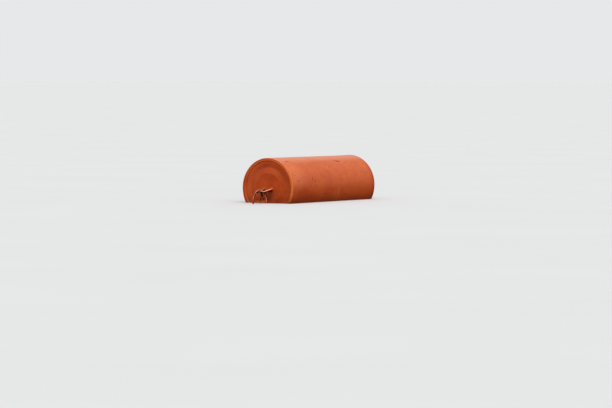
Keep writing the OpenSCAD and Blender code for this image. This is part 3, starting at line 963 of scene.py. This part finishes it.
    # bump: roller texture, soft sags, chips with a step, slime growth
    h = g.add(bump_h, g.mul(g.noise(g.P, 26.0, 2, 0.5), 1.6))
    nrm = g.bump(h, 0.0010 if part != "ring" else 0.0014, 0.30)
    pits = g.step(g.cells(g.P, 95.0), 0.05, 0.34)
    edge_h = g.add(g.sub(1.0, g.mul(primer, 0.8)), g.mul(g.mul(rust, 0.7), g.sub(grain, 0.3)))
    nrm = g.bump(edge_h, 0.0007, 0.75, nrm)
    growth = g.mul(under, g.add(g.noise(g.P, 120.0, 4, 0.6), g.mul(pits, -0.3)))
    nrm = g.bump(growth, 0.0022, 0.60, nrm)
    return g.finish(col, rough, nrm, g.mul(worn, 0.15) if worn is not None else None, 0.15)


def iron(name):
    """Rusted plug under old paint."""
    g = Tree(name)
    a = g.noise(g.P, 90.0, 5, 0.68)
    b = g.noise(g.P, 420.0, 3, 0.6)
    c = g.noise(g.P, 36.0, 3, 0.6)
    col = g.mix(g.step(a, 0.36, 0.66), (0.090, 0.034, 0.016), (0.250, 0.088, 0.030))
    col = g.mix(g.mul(g.step(b, 0.52, 0.72), 0.6), col, (0.060, 0.026, 0.016))
    keep = g.step(g.add(c, g.mul(g.sub(a, 0.5), 0.5)), 0.47, 0.53)
    col = g.mix(keep, col, (0.470, 0.086, 0.024))
    # corners of the hexagon are rubbed bare by the spanner
    rough = g.lerp(keep, 0.88, 0.58)
    nrm = g.bump(g.add(g.mul(a, 1.0), g.mul(b, 0.6)), 0.0012, 0.55)
    nrm = g.bump(keep, 0.0006, 0.7, nrm)
    return g.finish(col, rough, nrm, None, 0.4)


def rope_material(name):
    """Black laid rope, greyed by dust and tan on its upper side: the tan is partly sun-bleaching, partly a painted
    highlight.
    """
    g = Tree(name)
    fibre = g.noise(g.scaled(g.P, (1.0, 1.0, 1.0)), 900.0, 3, 0.6, 0.6)
    tuft = g.noise(g.P, 240.0, 3, 0.6)
    col = g.mix(g.step(fibre, 0.36, 0.66), (0.0035, 0.0035, 0.0032), (0.016, 0.0145, 0.012))
    # painted highlight in part: the rope's upper faces above the crown turn tan
    sun = g.mul(g.step(g.nz, 0.00, 0.50), g.step(g.add(g.z, g.mul(g.sub(tuft, 0.5), 0.005)), CROWN_Z + 0.003, CROWN_Z + 0.009))
    col = g.mix(g.mul(sun, g.step(tuft, 0.25, 0.6, (0.75, 1.0))), col, (0.820, 0.360, 0.180))
    dust = g.mul(g.step(g.nz, 0.2, 1.0), g.step(tuft, 0.45, 0.7))
    col = g.mix(g.mul(dust, 0.12), col, (0.110, 0.080, 0.055))
    nrm = g.bump(g.add(fibre, g.mul(tuft, 0.5)), 0.0006, 0.7)
    return g.finish(col, g.lerp(tuft, 0.72, 0.92), nrm, None, 0.10)


MAT = {
    "shell_paint": paint("shell_paint", "shell"),
    "end_paint": paint("end_paint", "end", (0.95, 0.86, 0.97)),
    "rim_paint": paint("rim_paint", "rim"),
    "hoop_paint": paint("hoop_paint", "hoop"),
    "ring_paint": paint("ring_paint", "ring"),
    "plug_iron": iron("plug_iron"),
    "rope": rope_material("rope"),
}

for obj in (shell, front_end, rear_end, ring_front, ring_rear, lashing, knot, tail_long, tail_short, *welds):
    obj.data.materials.clear()
    obj.data.materials.append(MAT[obj["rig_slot"]])
for node, slot in (("front_rim_ring", "rim_paint"), ("rear_rim_ring", "rim_paint"), ("front_hoop", "hoop_paint"), ("rear_hoop", "hoop_paint"),
                   ("test_plug_boss", "end_paint"), ("test_plug", "plug_iron")):
    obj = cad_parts[node]
    obj.data.materials.clear()
    obj.data.materials.append(MAT[slot])
for node, width in (("test_plug", 0.0008), ("test_plug_boss", 0.0008)):
    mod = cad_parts[node].modifiers.new("edges", "BEVEL")
    mod.width, mod.segments, mod.limit_method, mod.angle_limit = width, 3, "ANGLE", math.radians(28)


# ---------------------------------------------------------------- floor and light

def make_floor():
    bpy.ops.mesh.primitive_plane_add(size=900)
    floor = bpy.context.object
    floor.name = "floor"
    g = Tree("floor")
    n = g.noise(g.P, 0.6, 2, 0.5)
    col = g.mix(n, (0.70, 0.705, 0.71), (0.74, 0.745, 0.75))
    nrm = g.bump(g.noise(g.P, 3.0, 2, 0.5), 0.001, 0.1)
    floor.data.materials.append(g.finish(col, 0.85, nrm, None, 0.2))
    floor.visible_diffuse = floor.visible_glossy = False      # the drum is lit by the studio, whose lower half is dim


SKYLINE = 0.80     # as bright as the far floor, so that the two meet without a line


def make_light():
    world = bpy.data.worlds.new("studio")
    scene.world = world
    world.use_nodes = True
    t = world.node_tree
    t.nodes.clear()
    out = t.nodes.new("ShaderNodeOutputWorld")
    bg = t.nodes.new("ShaderNodeBackground")
    t.links.new(bg.outputs[0], out.inputs[0])
    co = t.nodes.new("ShaderNodeTexCoord")
    sep = t.nodes.new("ShaderNodeSeparateXYZ")
    t.links.new(co.outputs["Generated"], sep.inputs[0])
    half = t.nodes.new("ShaderNodeMath")
    half.operation = "MULTIPLY_ADD"
    half.inputs[1].default_value = half.inputs[2].default_value = 0.5
    t.links.new(sep.outputs[2], half.inputs[0])
    ramp = t.nodes.new("ShaderNodeValToRGB")
    t.links.new(half.outputs[0], ramp.inputs[0])
    e = ramp.color_ramp.elements
    for k, (pos, grey) in enumerate(((0.0, 0.11), (0.470, 0.14), (0.494, SKYLINE), (0.560, SKYLINE), (0.70, 0.60), (1.0, 0.66))):
        if k > 1:
            e.new(pos)
        e[k].position, e[k].color = pos, (grey, grey * 1.01, grey * 1.02, 1)
    t.links.new(ramp.outputs[0], bg.inputs["Color"])
    bg.inputs["Strength"].default_value = 1.0

    sun = bpy.data.lights.new("key", "SUN")
    sun.angle = math.radians(50)
    sun.energy = 1.9
    sun.color = (1.0, 0.985, 0.96)
    obj = bpy.data.objects.new("key", sun)
    scene.collection.objects.link(obj)
    towards = Vector((-0.48, -0.52, 0.85)).normalized()
    obj.rotation_mode = "QUATERNION"
    obj.rotation_quaternion = towards.to_track_quat("Z", "Y")
    scene.view_settings.view_transform = "Standard"
    scene.view_settings.look = "None"


make_floor()
make_light()
